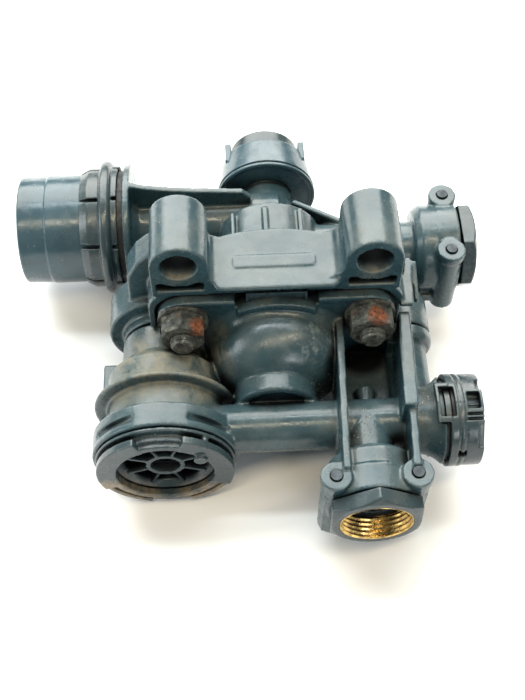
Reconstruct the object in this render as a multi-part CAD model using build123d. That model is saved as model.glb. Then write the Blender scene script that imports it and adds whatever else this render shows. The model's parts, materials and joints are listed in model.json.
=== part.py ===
from build123d import *
import math
import os

# Compressed-air multiport valve for a vehicle brake system, in millimetres.
# X runs to the right along the supply pipe, Y runs back from the mounting face, Z is up.
# Shapes are drawn with Z = 0 on the main port axis. place() then lowers them, so that the
# origin of the written files is midway between the two mounting holes, on the mounting face.

# Mounting
BOLT_PITCH = 59.0
BOSS_RISE = 41.0            # mounting holes above the main port axis
BOSS_R = 8.8
BOSS_HOLE_R = 5.5
BOSS_LENGTH = 21.5

# Joint between front housing and rear cover
FLANGE_HALF_WIDTH = 37.4
FLANGE_TOP = 26.5
BASE_Z = -26.5
FLANGE_FRONT = -2.8
FLANGE_FLOOR = -2.0
SEAM_FRONT = 2.0
SEAM_BACK = 2.8
COVER_HALF_WIDTH = 40.2
COVER_BACK = 20.0
CLAMP_X = 29.5
CLAMP_Z = 17.5
CLAMP_POINTS = [(-CLAMP_X, CLAMP_Z), (CLAMP_X, CLAMP_Z), (CLAMP_X, -CLAMP_Z)]
CLAMP_BOLT_R = 4.0
CLAMP_HOLE_R = 4.3
NOTCH_HALF = 13.0           # step in the top edge of the flange
NOTCH_R = 26.0
NOTCH_Z = 23.6
NUT_FLATS = 13.0
NUT_LENGTH = 6.5
WASHER_R = 8.0
WASHER_T = 1.6

# Relay piston in the dome, about the Y axis
DOME_R = 22.0
DOME_FOOT_R = 25.2
DOME_FRONT = -20.7
DOME_FRONT_R = 12.4
COLLAR_X = -1.1
COLLAR_R = 13.2
COLLAR_FRONT = -26.4
DOME_BORE_R = 19.8
DOME_BORE_FRONT = -9.0
RELAY_CHAMBER_BACK = 8.0
STEM_R = 4.0
RUN_GAP = 0.06              # radial clearance of a running fit
SEAT_R = 5.4
SEAT_BACK = 20.0
VALVE_BORE_R = 7.5

# Exhaust column, about an axis parallel to Y
COLUMN_X = -36.5
COLUMN_Z = -4.0
COLUMN_NECK_R = 14.0
COLUMN_R = 18.5
COLUMN_RIM_R = 22.7
COLUMN_BAND_R = 22.7
COLUMN_SHOULDER = -12.0
COLUMN_NECK_FRONT = -7.5
COLUMN_RIM_FRONT = -22.9
COLUMN_BAND_BACK = -32.3
COLUMN_FRONT = -40.2
COLUMN_RECESS_R = 18.9
RING_FLANGE_FRONT = -41.6
RING_FACE_BACK = -43.1
RING_FRONT = -45.5
RING_R = 21.4
GRILLE_R = 16.4
GRILLE_FRONT = -42.4
# knobs on the bayonet ring: angle, radius from the axis, front, back, own radius
KNOBS = [(42.0, 15.3, -46.6, -43.2, 2.1), (51.0, 20.4, -43.3, -41.4, 1.1)]
CHECK_SEAT = -27.0

# Supply pipe and front port
PIPE_Y = -32.5
PIPE_R = 7.7
PIPE_BORE_R = 5.2
FRONT_PORT_X = 26.5
FRONT_PORT_FACE = -66.7
PORT_HEX = 27.0
PORT_BORE_R = 10.2          # minor radius of the M22 x 1.5 thread
PORT_SOCKET_R = 11.8
PORT_BARREL_R = 11.7
PORT_THREAD_LENGTH = 7.3
PORT_HEX_LENGTH = 4.9
PIN_R = 1.75
PIN_OFFSET = 12.0
PIN_BOSS_R = 4.3
PIN_TOP = 14.0
PIN_BOTTOM = -18.0
RIGHT_PIN_BOTTOM = -14.0
PIN_HEAD_R = 4.75
PIN_HEAD_T = 3.2
PIN_BACK = 9.7              # pin centre behind the port face
PORT_BODY_R = 13.6

# Right port, about an axis parallel to X
RIGHT_PORT_Y = 36.5
RIGHT_PORT_FACE = 69.8
RIGHT_BODY_R = 14.9

# Left limiter cap, about an axis parallel to X
CAP_Y = 51.0
CAP_R = 18.9
CAP_END = -85.8
CAP_FLOOR = -82.5
CAP_STEP = -76.1
CAP_CLIP_LEFT = -64.6
CAP_BEAD_LEFT = -57.7
CAP_BEAD_RIGHT = -53.7
CAP_BEAD_R = 23.4
DISC_LEFT = -49.8
DISC_RIGHT = -47.4
CLAMP_RING_RIGHT = -51.6
DISC_R = 21.8
LIMITER_ARM_R = 10.5

# Rear valve tube and vent cap, about the Y axis
TUBE_R = 17.8
TUBE_BACK = 44.6
RIB_BACK = 42.2
COLLAR_BACK_R = 14.0
NECK_R = 9.3
NECK_BACK = 61.4
VENT_FRONT = 62.2
VENT_R = 17.6
VENT_BACK = 76.2
VENT_BACK_R = 15.6
VENT_END = 84.2
SPIGOT_R = 8.6

# Electrical connector, about an axis parallel to X, and solenoid, parallel to Y
CONNECTOR_LEFT = 50.6
CONNECTOR_RIGHT = 61.2
LOCK_RING_LEFT = 46.9
CONNECTOR_R = 14.5
SHROUD_R = 11.2
FRAME_ANGLES = (94.0, 274.0)  # middles of the locking ring's window frames, from +Y towards +Z
FRAME_ARC = 54.0
RING_SWING = 30.0
SOLENOID_X = 43.0
SOLENOID_Z = -5.0
SOLENOID_R = 9.2
HEX_UP = 30.0                # turn that puts two corners of a hexagon on the vertical line


def cyl_x(x0, x1, r, y=0.0, z=0.0):
    return Pos((x0 + x1) / 2, y, z) * Rot(0, 90, 0) * Cylinder(r, abs(x1 - x0))


def cyl_y(y0, y1, r, x=0.0, z=0.0):
    return Pos(x, (y0 + y1) / 2, z) * Rot(-90, 0, 0) * Cylinder(r, abs(y1 - y0))


def cyl_z(z0, z1, r, x, y):
    return Pos(x, y, (z0 + z1) / 2) * Cylinder(r, abs(z1 - z0))


def cone_x(x0, x1, r0, r1, y=0.0, z=0.0):
    return Pos((x0 + x1) / 2, y, z) * Rot(0, 90, 0) * Cone(r0, r1, x1 - x0)


def cone_y(y0, y1, r0, r1, x=0.0, z=0.0):
    return Pos(x, (y0 + y1) / 2, z) * Rot(-90, 0, 0) * Cone(r0, r1, y1 - y0)


def block(x0, x1, y0, y1, z0, z1):
    return Pos((x0 + x1) / 2, (y0 + y1) / 2, (z0 + z1) / 2) * Box(x1 - x0, y1 - y0, z1 - z0)


def soft_block(x0, x1, y0, y1, z0, z1, r, axis=Axis.Y):
    body = block(x0, x1, y0, y1, z0, z1)
    return fillet(body.edges().filter_by(axis), r)


def hex_y(y0, y1, flats, x=0.0, z=0.0):
    """Hexagonal bar along Y with two corners on the vertical line through its axis."""
    outline = RegularPolygon(flats / 2, 6, major_radius=False, rotation=HEX_UP)
    bar = extrude(outline, y1 - y0)
    return Pos(x, y0, z) * Rot(-90, 0, 0) * bar


def slab_z(points, z0, z1):
    """Plate of constant thickness from an outline in X and Y."""
    return Pos(0, 0, z0) * extrude(make_face(Polyline(*points, close=True)), z1 - z0)


def plate_y(points, y0, y1):
    """Plate of constant thickness from an outline in X and Z."""
    outline = make_face(Polyline(*points, close=True))
    return Pos(0, y1, 0) * Rot(90, 0, 0) * extrude(outline, y1 - y0)


def ring_y(y0, y1, r_in, r_out, x=0.0, z=0.0):
    return cyl_y(y0, y1, r_out, x, z) - cyl_y(y0 - 1, y1 + 1, r_in, x, z)


def ring_x(x0, x1, r_in, r_out, y=0.0, z=0.0):
    return cyl_x(x0, x1, r_out, y, z) - cyl_x(x0 - 1, x1 + 1, r_in, y, z)


def seal_y(y, r, thick, x=0.0, z=0.0):
    return Pos(x, y, z) * Rot(90, 0, 0) * Torus(r, thick)


def seal_x(x, r, thick, y=0.0, z=0.0):
    return Pos(x, y, z) * Rot(0, 90, 0) * Torus(r, thick)


def fuse(parts):
    whole = parts[0]
    for piece in parts[1:]:
        whole = whole + piece
    return whole


def coil_y(y0, y1, r, wire, turns, x=0.0, z=0.0):
    """Round-wire compression spring between two planes, its ends inset by half a wire."""
    height = y1 - y0 - 2 * wire
    path = Helix(pitch=height / turns, height=height, radius=r)
    section = Plane(origin=path @ 0, z_dir=path % 0) * Circle(wire)
    spring = sweep(section, path=path, is_frenet=True)
    return Pos(x, y0 + wire, z) * Rot(-90, 0, 0) * spring


# ---------------------------------------------------------------- front housing

def flange_outline(y0, y1, inset=0.0):
    plate = soft_block(-FLANGE_HALF_WIDTH + inset, FLANGE_HALF_WIDTH - inset, y0, y1,
                       BASE_Z + inset, FLANGE_TOP - inset, 9.0 - inset)
    return plate


def dome_body():
    """Bulging dome turned about Y, flared where it meets the flange, with the collar at its front."""
    profile = [
        Line((0, SEAM_FRONT), (DOME_FOOT_R, SEAM_FRONT)),
        Line((DOME_FOOT_R, SEAM_FRONT), (DOME_FOOT_R, FLANGE_FLOOR)),
        ThreePointArc((DOME_FOOT_R, FLANGE_FLOOR), (22.9, -4.0), (DOME_R, -7.5)),
        ThreePointArc((DOME_R, -7.5), (19.2, -15.4), (DOME_FRONT_R, DOME_FRONT)),
        Line((DOME_FRONT_R, DOME_FRONT), (0, DOME_FRONT)),
        Line((0, DOME_FRONT), (0, SEAM_FRONT)),
    ]
    dome = revolve(make_face(profile), Axis.Y)
    collar = cyl_y(COLLAR_FRONT, DOME_FRONT + 2, COLLAR_R, COLLAR_X)
    return dome + collar - cyl_y(COLLAR_FRONT - 1, COLLAR_FRONT + 1.2, COLLAR_R - 3.0, COLLAR_X)


def exhaust_column_front():
    parts = [
        cyl_y(COLUMN_NECK_FRONT, SEAM_FRONT, COLUMN_NECK_R, COLUMN_X, COLUMN_Z),
        cone_y(COLUMN_SHOULDER, COLUMN_NECK_FRONT, COLUMN_R, COLUMN_NECK_R, COLUMN_X, COLUMN_Z),
        cyl_y(COLUMN_FRONT, COLUMN_SHOULDER, COLUMN_R, COLUMN_X, COLUMN_Z),
        cyl_y(COLUMN_RIM_FRONT, COLUMN_RIM_FRONT + 1.6, COLUMN_RIM_R, COLUMN_X, COLUMN_Z),
        cyl_y(COLUMN_FRONT, COLUMN_BAND_BACK, COLUMN_BAND_R, COLUMN_X, COLUMN_Z),
        block(COLUMN_X - 21.5, COLUMN_X - 12.0, -14.0, 0.0, -20.0, -11.0),
        block(COLUMN_X - 21.5, COLUMN_X - 12.0, -26.0, -17.0, -20.0, -11.0),
    ]
    return fuse(parts)


def column_band_slots():
    """Two shallow windows let into the band, left and right of its top."""
    slots = []
    for side in (-1, 1):
        angle = math.radians(90 - side * 42)
        centre = Pos(COLUMN_X + COLUMN_BAND_R * math.cos(angle), -36.8,
                     COLUMN_Z + COLUMN_BAND_R * math.sin(angle))
        slots.append(centre * Rot(0, side * 42, 0) * Box(16.0, 2.2, 4.4))
    return fuse(slots)


def exhaust_column_bores():
    parts = [
        cyl_y(RING_FRONT - 2, COLUMN_FRONT, RING_R + 0.5, COLUMN_X, COLUMN_Z),
        cyl_y(COLUMN_FRONT - 1, -36.0, COLUMN_RECESS_R, COLUMN_X, COLUMN_Z),
        cyl_y(-37.0, -30.6, GRILLE_R + 0.1, COLUMN_X, COLUMN_Z),
        cyl_y(-31.0, CHECK_SEAT, 13.0, COLUMN_X, COLUMN_Z),
        cyl_y(CHECK_SEAT - 1, SEAM_FRONT + 1, 9.5, COLUMN_X, COLUMN_Z),
    ]
    return fuse(parts)


def pin_boss(x, y, bottom):
    """Barrel round a retaining pin, with a wider flat head."""
    return cyl_z(bottom, PIN_TOP, PIN_BOSS_R, x, y) + cyl_z(PIN_TOP - PIN_HEAD_T, PIN_TOP, PIN_HEAD_R, x, y)


def port_ribs():
    """Upright ribs from the flange to the pin bosses, and the stepped rib on the right."""
    rib_top = 15.0
    left = slab_z([(18.9, -1.0), (21.3, -1.0), (18.9, -55.0), (16.7, -55.0)], -10.0, rib_top)
    right = slab_z([(40.9, -30.0), (38.6, -30.0), (37.2, -55.0), (39.6, -55.0)], -10.0, rib_top)
    step = slab_z([(42.3, -2.2), (38.6, -2.2), (37.6, -15.0), (36.6, -36.2), (40.9, -36.2), (42.0, -15.0)],
                  -10.0, 17.4)
    foot = block(36.0, 41.4, -6.0, SEAM_FRONT, -14.0, 5.0)
    return fuse([left, right, step, foot])


def front_port_body():
    pin_y = FRONT_PORT_FACE + PIN_BACK
    left = FRONT_PORT_X - PIN_OFFSET
    right = FRONT_PORT_X + PIN_OFFSET
    parts = [
        cyl_y(-46.0, PIPE_Y, PIPE_R, FRONT_PORT_X),
        cone_y(-47.4, -45.4, PORT_BODY_R, PORT_BODY_R - 2.2, FRONT_PORT_X),
        cyl_y(-55.0, -47.4, PORT_BODY_R, FRONT_PORT_X),
        cyl_y(-61.4, -53.0, PORT_BODY_R + 0.8, FRONT_PORT_X),
        pin_boss(left, pin_y, PIN_BOTTOM),
        pin_boss(right, pin_y, PIN_BOTTOM),
        block(left - 3.4, right + 3.4, pin_y - 3.4, pin_y + 3.2, PIN_BOTTOM, 6.0),
        port_ribs(),
        # floor between the ribs, with the pilot boss standing on it
        block(18.0, 40.0, -34.0, FLANGE_FLOOR + 1, -8.6, -5.6),
        cone_y(-24.0, -18.0, 2.4, 3.4, FRONT_PORT_X + 1.5, -4.6),
    ]
    return fuse(parts)


def front_port_bores():
    pin_y = FRONT_PORT_FACE + PIN_BACK
    parts = [
        cyl_y(-62.0, -47.0, PORT_SOCKET_R, FRONT_PORT_X),
        cyl_y(-47.5, PIPE_Y, 6.4, FRONT_PORT_X),
    ]
    for side in (-1, 1):
        parts.append(cyl_z(PIN_BOTTOM - 1, PIN_TOP + 1, PIN_R + 0.03,
                           FRONT_PORT_X + side * PIN_OFFSET, pin_y))
    return fuse(parts)


def pipe_sector(x0, x1, r_in, r_out, start, sweep_angle):
    """Part of a ring about the supply pipe, between two angles from +Y towards +Z."""
    steps = 12
    points = [(PIPE_Y, 0.0)]
    for k in range(steps + 1):
        lean = math.radians(start + sweep_angle * k / steps)
        points.append((PIPE_Y + 30.0 * math.cos(lean), 30.0 * math.sin(lean)))
    outline = make_face(Polyline(*points, close=True))
    wedge = Pos(x0, 0, 0) * Rot(0, 90, 90) * extrude(outline, x1 - x0)
    return ring_x(x0, x1, r_in, r_out, PIPE_Y) & wedge


def connector_neck():
    """Round neck that flares like a bell up to the locking ring."""
    profile = [
        Line((40.0, 0), (40.0, 9.8)),
        Line((40.0, 9.8), (43.0, 10.2)),
        ThreePointArc((43.0, 10.2), (47.2, 11.7), (49.8, 14.1)),
        Line((49.8, 14.1), (49.8, 0)),
        Line((49.8, 0), (40.0, 0)),
    ]
    bell = revolve(make_face(profile), Axis.X)
    # two recesses in which the window frames of the locking ring swing
    recesses = [
        pipe_sector(LOCK_RING_LEFT - 0.4, 50.6, 12.1, 15.2, middle - FRAME_ARC / 2 - RING_SWING - 2,
                    FRAME_ARC + RING_SWING + 4)
        for middle in FRAME_ANGLES
    ]
    return Pos(0, PIPE_Y, 0) * bell - fuse(recesses)


def solenoid_front():
    parts = [
        cyl_y(-1.2, SEAM_FRONT, SOLENOID_R, SOLENOID_X, SOLENOID_Z),
        cone_y(-3.0, -1.2, SOLENOID_R - 1.2, SOLENOID_R, SOLENOID_X, SOLENOID_Z),
        cyl_y(-30.0, -2.0, 6.8, SOLENOID_X, SOLENOID_Z),
        block(33.0, 40.0, FLANGE_FLOOR, SEAM_FRONT, -14.0, 5.0),
    ]
    return fuse(parts)


def front_housing():
    rim = flange_outline(FLANGE_FRONT, SEAM_FRONT)
    rim = rim - flange_outline(FLANGE_FRONT - 1, FLANGE_FLOOR, 2.2)
    arch = ring_y(FLANGE_FRONT - 1.3, 0.0, NOTCH_R - 2.3, NOTCH_R)
    arch = arch & block(-12.3, 12.3, -5.0, 1.0, 10.0, 30.0)
    step = block(-NOTCH_HALF, NOTCH_HALF, -5.0, 3.0, 20.0, 30.0) - cyl_y(-6.0, 4.0, NOTCH_R)
    body = fuse([
        rim,
        arch,
        dome_body(),
        exhaust_column_front(),
        cyl_x(COLUMN_X + 6, 42.0, PIPE_R, PIPE_Y),
        front_port_body(),
        connector_neck(),
        solenoid_front(),
        # web from the dome collar down to the pipe
        block(-1.3, 1.3, PIPE_Y, COLLAR_FRONT + 2, -12.0, 4.0),
    ])
    cuts = [
        cyl_y(DOME_BORE_FRONT, SEAM_FRONT + 1, DOME_BORE_R),
        cyl_y(-17.0, DOME_BORE_FRONT + 1, 8.0),
        # the top edge steps down to an arch between the bosses
        step,
        column_band_slots(),
        exhaust_column_bores(),
        front_port_bores(),
        # supply passage, with the cross drilling that feeds the exhaust column
        cyl_x(-16.5, 44.0, PIPE_BORE_R, PIPE_Y),
        # connector socket
        cyl_x(46.0, 52.0, 9.7, PIPE_Y),
        # solenoid bore and its pilot passage
        cyl_y(-0.6, SEAM_FRONT + 1, 6.7, SOLENOID_X, SOLENOID_Z),
        cyl_y(-26.0, 0.0, 2.0, SOLENOID_X, SOLENOID_Z),
    ]
    for x, z in CLAMP_POINTS:
        cuts.append(cyl_y(-10.6, FLANGE_FLOOR, WASHER_R + 0.1, x, z))
        cuts.append(cyl_y(-14.0, SEAM_FRONT + 1, CLAMP_HOLE_R, x, z))
    return body - fuse(cuts)


# ---------------------------------------------------------------- rear cover

def mounting_boss(x):
    body = fuse([
        cyl_y(0.0, BOSS_LENGTH, BOSS_R, x, BOSS_RISE),
        block(x - BOSS_R, x + BOSS_R, 0.0, BOSS_LENGTH, 27.0, BOSS_RISE),
    ])
    pocket = block(x - 7.4, x + 7.4, -1.0, 7.0, 29.2, 33.2)
    pocket = pocket - cyl_y(-2.0, 8.0, BOSS_R + 0.6, x, BOSS_RISE)
    return body - pocket


def bridge():
    """Flat plate between the bosses: thin front lip, arched back edge, blank pad, rounded inner corners."""
    top = 33.7
    back = 20.3
    back_radius = 55.0
    slab = block(-22.0, 22.0, 0.0, back, 24.0, top) & cyl_z(23.0, 35.0, back_radius, -0.5, back - back_radius)
    slab = slab - block(-23.0, 23.0, -0.1, SEAM_BACK, 22.0, FLANGE_TOP + 0.8)
    lip = soft_block(-19.4, 19.4, -3.0, 3.2, 31.9, top, 2.9, Axis.Z)
    pad = soft_block(-13.0, 12.0, 5.0, 9.4, top - 0.5, top + 0.4, 1.2, Axis.Z)
    corner = -BOLT_PITCH / 2 + BOSS_R
    left = corner_fillet(corner - 0.4, 1, 2.8, top)
    right = corner_fillet(-corner + 0.4, -1, 6.0, top)
    return fuse([slab, lip, pad, left, right])


def corner_fillet(x, side, radius, z):
    """Concave quarter fillet along Y between the top of the bridge and the side of a boss."""
    reach = x + side * (radius + 0.4)
    x0, x1 = sorted((x, reach))
    return block(x0, x1, 0.0, 18.0, z - 0.5, z + radius) - cyl_y(-1.0, 19.0, radius, reach, z + radius)


def rear_valve_tube():
    parts = [
        cyl_y(18.0, TUBE_BACK, TUBE_R),
        cone_y(TUBE_BACK - 1.0, 53.0, COLLAR_BACK_R, NECK_R - 0.1),
        cyl_y(52.0, NECK_BACK, NECK_R),
        cyl_y(NECK_BACK - 1, 70.0, SPIGOT_R),
    ]
    # upright ribs along the top of the tube
    for x, rib_top in ((-12.6, 16.2), (-1.7, 18.6), (10.2, 17.4)):
        parts.append(block(x - 0.8, x + 0.8, 19.0, RIB_BACK, 2.0, rib_top))
    return fuse(parts)


def limiter_arm():
    """Horizontal chamber with its end disc and the stiffening webs around it."""
    web = [(DISC_RIGHT - 0.5, -12.0), (DISC_RIGHT - 0.5, 22.0), (-43.0, 20.4), (-36.0, 19.1),
           (-26.0, 18.0), (-9.0, 16.8), (-6.0, 14.0), (-6.0, -12.0)]
    parts = [
        cyl_x(DISC_LEFT, DISC_RIGHT, DISC_R, CAP_Y),
        cyl_x(DISC_RIGHT - 1, 4.0, LIMITER_ARM_R, CAP_Y),
        cone_x(DISC_RIGHT - 0.1, -45.0, 13.5, LIMITER_ARM_R, CAP_Y),
        plate_y(web, CAP_Y - 0.8, CAP_Y + 1.4),
        block(DISC_RIGHT - 0.5, -6.0, 30.0, CAP_Y, -1.2, 1.2),
        # ledge along the front of the chamber
        block(-44.0, -12.0, 34.0, 42.0, -3.0, 0.0),
        # sloping gusset from the left boss down to the exhaust column
        plate_y([(-47.4, 8.0), (-46.8, 24.0), (-43.5, 30.5), (-38.0, 36.0), (-38.0, 8.0)], 10.0, 19.4),
    ]
    return fuse(parts)


def right_port_body():
    pin_x = RIGHT_PORT_FACE - PIN_BACK
    parts = [
        cyl_x(6.0, 51.0, 9.4, RIGHT_PORT_Y),
        cone_x(49.2, 51.6, RIGHT_BODY_R - 2.0, RIGHT_BODY_R, RIGHT_PORT_Y),
        cyl_x(51.5, 64.0, RIGHT_BODY_R, RIGHT_PORT_Y),
        cyl_x(57.2, 64.0, RIGHT_BODY_R + 0.4, RIGHT_PORT_Y),
        # web between the rear tube and the right port
        Pos(24.0, 43.5, -1.5) * Rot(0, 0, -31) * Box(36.0, 2.0, 21.0),
        # gusset from the port to the right mounting boss
        block(33.0, 36.0, 18.0, RIGHT_PORT_Y, -14.0, 12.0),
        block(45.0, 60.0, 22.0, RIGHT_PORT_Y - 4, -12.0, -9.0),
    ]
    for side in (-1, 1):
        parts.append(pin_boss(pin_x, RIGHT_PORT_Y + side * PIN_OFFSET, RIGHT_PIN_BOTTOM))
        edge = sorted((RIGHT_PORT_Y, RIGHT_PORT_Y + side * PIN_OFFSET))
        parts.append(block(pin_x - 3.4, pin_x + 3.4, edge[0], edge[1], RIGHT_PIN_BOTTOM, 6.0))
    return fuse(parts)


def right_port_bores():
    pin_x = RIGHT_PORT_FACE - PIN_BACK
    parts = [
        cyl_x(54.6, 66.0, PORT_SOCKET_R, RIGHT_PORT_Y),
        cyl_x(12.0, 55.0, 5.6, RIGHT_PORT_Y),
    ]
    for side in (-1, 1):
        parts.append(cyl_z(RIGHT_PIN_BOTTOM - 1, PIN_TOP + 1, PIN_R + 0.03, pin_x,
                           RIGHT_PORT_Y + side * PIN_OFFSET))
    return fuse(parts)


def exhaust_column_rear():
    parts = [
        cyl_y(SEAM_BACK, 7.0, COLUMN_NECK_R, COLUMN_X, COLUMN_Z),
        cyl_y(6.5, 19.0, 18.7, COLUMN_X, COLUMN_Z),
    ]
    body = fuse(parts)
    groove = ring_y(9.0, 9.6, 18.2, 20.0, COLUMN_X, COLUMN_Z)
    return body - groove


def side_fin():
    """Tapered guide fin on the right edge, with a thin sloping bar beside it."""
    fin = slab_z([(38.9, -1.7), (43.4, -1.7), (44.5, 17.0), (42.6, 17.0)], 18.3, 20.4)
    root = block(38.0, 43.2, 3.2, 17.0, 14.0, 18.4)
    bar = Pos(45.3, 6.8, 16.6) * Rot(18.8, 0, 0) * Box(1.5, 18.6, 2.2)
    link = block(42.6, 45.4, 9.0, 13.0, 15.0, 17.6)
    return fuse([fin, root, bar, link])


def rear_moulding():
    shell = soft_block(-COVER_HALF_WIDTH, COVER_HALF_WIDTH, 0.0, COVER_BACK, BASE_Z, 29.0, 9.0)
    shell = shell - block(-COVER_HALF_WIDTH - 1, COVER_HALF_WIDTH + 1, -1.0, SEAM_BACK, BASE_Z - 1, -12.0)
    recess = soft_block(-FLANGE_HALF_WIDTH - 0.8, FLANGE_HALF_WIDTH + 0.8, -1.0, SEAM_BACK,
                        BASE_Z - 20, FLANGE_TOP + 0.8, 9.5)
    shell = shell - recess
    body = fuse([
        shell,
        mounting_boss(-BOLT_PITCH / 2),
        mounting_boss(BOLT_PITCH / 2),
        bridge(),
        rear_valve_tube(),
        limiter_arm(),
        right_port_body(),
        exhaust_column_rear(),
        cyl_y(SEAM_BACK, 16.5, SOLENOID_R, SOLENOID_X, SOLENOID_Z),
        side_fin(),
    ])
    cuts = [
        cyl_y(-5.0, BOSS_LENGTH + 5, BOSS_HOLE_R, -BOLT_PITCH / 2, BOSS_RISE),
        cyl_y(-5.0, BOSS_LENGTH + 5, BOSS_HOLE_R, BOLT_PITCH / 2, BOSS_RISE),
        # room for the front housing where it passes the cover's edge
        block(37.5, 50.0, -5.0, SEAM_BACK, -16.0, 18.8),
        cyl_y(-5.0, SEAM_BACK, COLUMN_NECK_R + 0.8, COLUMN_X, COLUMN_Z),
        # relay chamber, stem guide, seat and valve bore
        cyl_y(SEAM_BACK - 1, RELAY_CHAMBER_BACK, DOME_BORE_R),
        cyl_y(RELAY_CHAMBER_BACK - 1, SEAT_BACK, STEM_R + RUN_GAP),
        cyl_y(13.0, SEAT_BACK, SEAT_R),
        cyl_y(SEAT_BACK, 72.0, VALVE_BORE_R),
        ring_y(65.6, 68.0, 7.6, 9.0),
        # exhaust column chamber
        cyl_y(SEAM_BACK - 1, 16.0, 9.5, COLUMN_X, COLUMN_Z),
        # limiter chamber
        cyl_x(DISC_LEFT - 1, -24.0, 8.0, CAP_Y),
        right_port_bores(),
        # solenoid bore
        cyl_y(SEAM_BACK - 1, 14.6, 6.7, SOLENOID_X, SOLENOID_Z),
    ]
    for x, z in CLAMP_POINTS:
        cuts.append(cyl_y(0.0, COVER_BACK + 3, CLAMP_HOLE_R, x, z))
        cuts.append(cyl_y(COVER_BACK, COVER_BACK + 16, 8.4, x, z))
    return body - fuse(cuts)


def split_rear_moulding():
    """The rear moulding as four solids that meet face to face, so that each bay between them stays open."""
    whole = rear_moulding()
    side = TUBE_R
    behind = (COVER_BACK, 95.0, -30.0, 23.0)
    left = block(-70.0, -side, *behind)
    middle = block(-side, side, *behind)
    right = block(side, 80.0, *behind) + block(54.0, 80.0, 15.0, 95.0, -30.0, 23.0)
    return {
        "rear_cover": whole - fuse([left, middle, right]),
        "limiter_housing": whole & left,
        "rear_tube_housing": whole & middle,
        "right_port_housing": whole & right,
    }


# ---------------------------------------------------------------- joint of the two halves

def seam_gasket():
    body = flange_outline(SEAM_FRONT, SEAM_BACK, 1.6) - cyl_y(0, 5, DOME_BORE_R + 0.3)
    body = body - cyl_y(0, 5, 10.5, COLUMN_X, COLUMN_Z)
    body = body - block(34.6, 50, 0, 5, -15.0, 8.0)
    body = body - block(-NOTCH_HALF - 0.5, NOTCH_HALF + 0.5, 0, 5, NOTCH_Z - 0.7, 30.0)
    for x, z in CLAMP_POINTS:
        body = body - cyl_y(0, 5, CLAMP_HOLE_R + 0.4, x, z)
    return body


def housing_bolts():
    bolts = []
    for x, z in CLAMP_POINTS:
        head = hex_y(COVER_BACK, COVER_BACK + 5.3, NUT_FLATS, x, z)
        shank = cyl_y(-12.2, COVER_BACK + 1, CLAMP_BOLT_R, x, z)
        tip = cone_y(-13.2, -12.2, CLAMP_BOLT_R - 0.9, CLAMP_BOLT_R, x, z)
        bolts.append(head + shank + tip)
    return bolts


def housing_nuts():
    back = FLANGE_FLOOR - WASHER_T
    nuts = []
    for x, z in CLAMP_POINTS:
        bar = hex_y(back - NUT_LENGTH, back, NUT_FLATS, x, z)
        crown = cone_y(back - NUT_LENGTH, back, 6.5, 12.5, x, z)
        nuts.append((bar & crown) - cyl_y(-20, 0, CLAMP_BOLT_R + 0.02, x, z))
    return nuts


def housing_washers():
    back = FLANGE_FLOOR
    return [ring_y(back - WASHER_T, back, CLAMP_HOLE_R, WASHER_R, x, z) for x, z in CLAMP_POINTS]


def label_plate():
    """Blank plate on the step of the flange, under the bridge."""
    plate = soft_block(-9.5, 9.5, -1.4, -0.4, NOTCH_Z, 28.8, 0.4)
    plate = plate - block(-8.7, 8.7, -2.0, -0.9, NOTCH_Z + 0.8, 28.0)
    return plate - cyl_y(-3.0, 2.0, NOTCH_R)


# ---------------------------------------------------------------- relay piston and valve

def relay_piston():
    disc = cyl_y(-5.0, -0.6, DOME_BORE_R - 0.08) - cyl_y(-6.0, -3.6, 14.0)
    disc = disc - ring_y(-4.2, -2.4, 18.2, 25.0)
    disc = disc + cyl_y(-9.0, -3.0, 5.0)
    stem = cyl_y(-1.0, SEAT_BACK, STEM_R)
    vent = cyl_y(-10.0, SEAT_BACK + 1, 1.8)
    return disc + stem - vent


def relay_piston_ring():
    return seal_y(-3.3, 18.95, 0.75)


def relay_spring():
    return coil_y(-0.55, RELAY_CHAMBER_BACK - 0.05, 11.0, 0.9, 3.0)


def relay_valve():
    disc = cyl_y(SEAT_BACK + 0.3, 23.2, 6.9)
    tube = cyl_y(23.0, 35.0, 3.0)
    return disc + tube - cyl_y(20.0, 36.0, 1.6)


def relay_valve_spring():
    return coil_y(23.25, 30.95, 5.0, 0.5, 4.5)


def valve_guide():
    cup = cyl_y(31.0, 38.0, VALVE_BORE_R - 0.05) - cyl_y(34.0, 39.0, 5.6)
    cup = cup - cyl_y(30.0, 39.0, 3.0 + RUN_GAP)
    for k in range(4):
        angle = math.radians(45 + 90 * k)
        cup = cup - cyl_y(30.0, 35.0, 0.9, 4.6 * math.cos(angle), 4.6 * math.sin(angle))
    return cup


def guide_clip():
    """Snap ring that keeps the valve guide in the tube."""
    return ring_y(38.2, 39.2, 5.2, VALVE_BORE_R - 0.05) - block(-1.5, 1.5, 37, 40, 0, 9)


# ---------------------------------------------------------------- exhaust side

def ring_sector(y0, y1, r_in, r_out, start, sweep_angle):
    """Part of a ring about the exhaust column, between two angles from +X towards +Z."""
    steps = 12
    points = []
    for k in range(steps + 1):
        lean = math.radians(start + sweep_angle * k / steps)
        points.append((COLUMN_X + 30.0 * math.cos(lean), COLUMN_Z + 30.0 * math.sin(lean)))
    wedge = plate_y([(COLUMN_X, COLUMN_Z)] + points, y0, y1)
    return ring_y(y0, y1, r_in, r_out, COLUMN_X, COLUMN_Z) & wedge


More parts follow.
